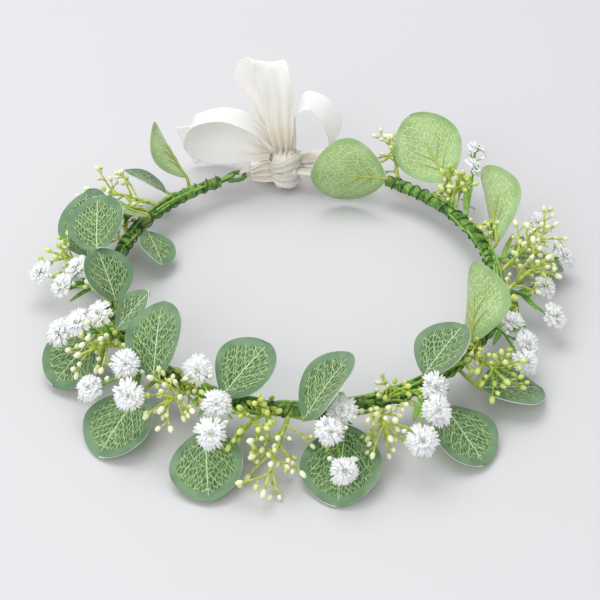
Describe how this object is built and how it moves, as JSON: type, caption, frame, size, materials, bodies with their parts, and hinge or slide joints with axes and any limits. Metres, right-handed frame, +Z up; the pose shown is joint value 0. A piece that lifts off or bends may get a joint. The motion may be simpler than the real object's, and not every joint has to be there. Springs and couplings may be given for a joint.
{
  "type": "flower crown",
  "caption": "Open wire hoop wound in green tape with eucalyptus leaves, white baby's breath and bud sprays, closed at the back by a satin ribbon bow.",
  "frame": {"origin": "centre of the head opening, on the surface the crown lies on", "axes": "+Z up through the head opening, bow at +Y, front of the crown at -Y, +X to the right seen from the front"},
  "size_m": [0.2618, 0.2694, 0.0792],
  "materials": {
    "wire": "paper-covered florist's wire, satin green",
    "binding": "wound florist's tape and stems, matt green",
    "leaf": "printed leaf: dark green veined face, pale green underside",
    "flower": "white baby's-breath heads on green stems, matt",
    "bud": "moulded yellow-green stems and cream buds, satin",
    "satin": "ivory satin ribbon"
  },
  "bodies": {
    "crown": {"hoop_wire": "wire", "hoop_binding": "binding", "leaf_01": "leaf", "leaf_02": "leaf", "leaf_03": "leaf", "leaf_04": "leaf", "leaf_05": "leaf", "leaf_06": "leaf", "leaf_07": "leaf", "leaf_08": "leaf", "leaf_09": "leaf", "leaf_10": "leaf", "leaf_11": "leaf", "leaf_12": "leaf", "leaf_13": "leaf", "leaf_14": "leaf", "leaf_15": "leaf", "leaf_16": "leaf", "leaf_17": "leaf", "leaf_18": "leaf", "leaf_19": "leaf", "leaf_20": "leaf", "leaf_21": "leaf", "leaf_22": "leaf", "leaf_23": "leaf", "flower_pick_01": "flower", "flower_pick_02": "flower", "flower_pick_03": "flower", "flower_pick_04": "flower", "flower_pick_05": "flower", "flower_pick_06": "flower", "flower_pick_07": "flower", "flower_pick_08": "flower", "flower_pick_09": "flower", "flower_pick_10": "flower", "flower_pick_11": "flower", "bud_pick_01": "bud", "bud_pick_02": "bud", "bud_pick_03": "bud", "bud_pick_04": "bud", "bud_pick_05": "bud", "bud_pick_06": "bud", "bud_pick_07": "bud", "bud_pick_08": "bud", "bud_pick_09": "bud", "bud_pick_10": "bud", "bud_pick_11": "bud", "bud_pick_12": "bud", "bud_pick_13": "bud", "ribbon_turn_left": "satin", "ribbon_turn_right": "satin"},
    "bow": {"ribbon_strap_left": "satin", "ribbon_strap_right": "satin", "ribbon_knot": "satin", "ribbon_loop_left": "satin", "ribbon_loop_right": "satin", "ribbon_loop_top": "satin"},
    "tail_left": {"ribbon_tail_left": "satin"},
    "tail_back": {"ribbon_tail_back": "satin"}
  },
  "joints": [
    {"name": "bow_swing", "type": "hinge", "parent": "crown", "child": "bow", "pos_m": [0, 0.0874, 0.014], "axis": [1, 0, 0], "range_deg": [-90, 5]},
    {"name": "tail_left_swing", "type": "hinge", "parent": "bow", "child": "tail_left", "pos_m": [-0.018, 0.1, 0.014], "axis": [0, 0, 1], "range_deg": [-20, 2]},
    {"name": "tail_back_swing", "type": "hinge", "parent": "bow", "child": "tail_back", "pos_m": [-0.014, 0.1, 0.004], "axis": [1, 0, 0], "range_deg": [-80, 8]}
  ]
}
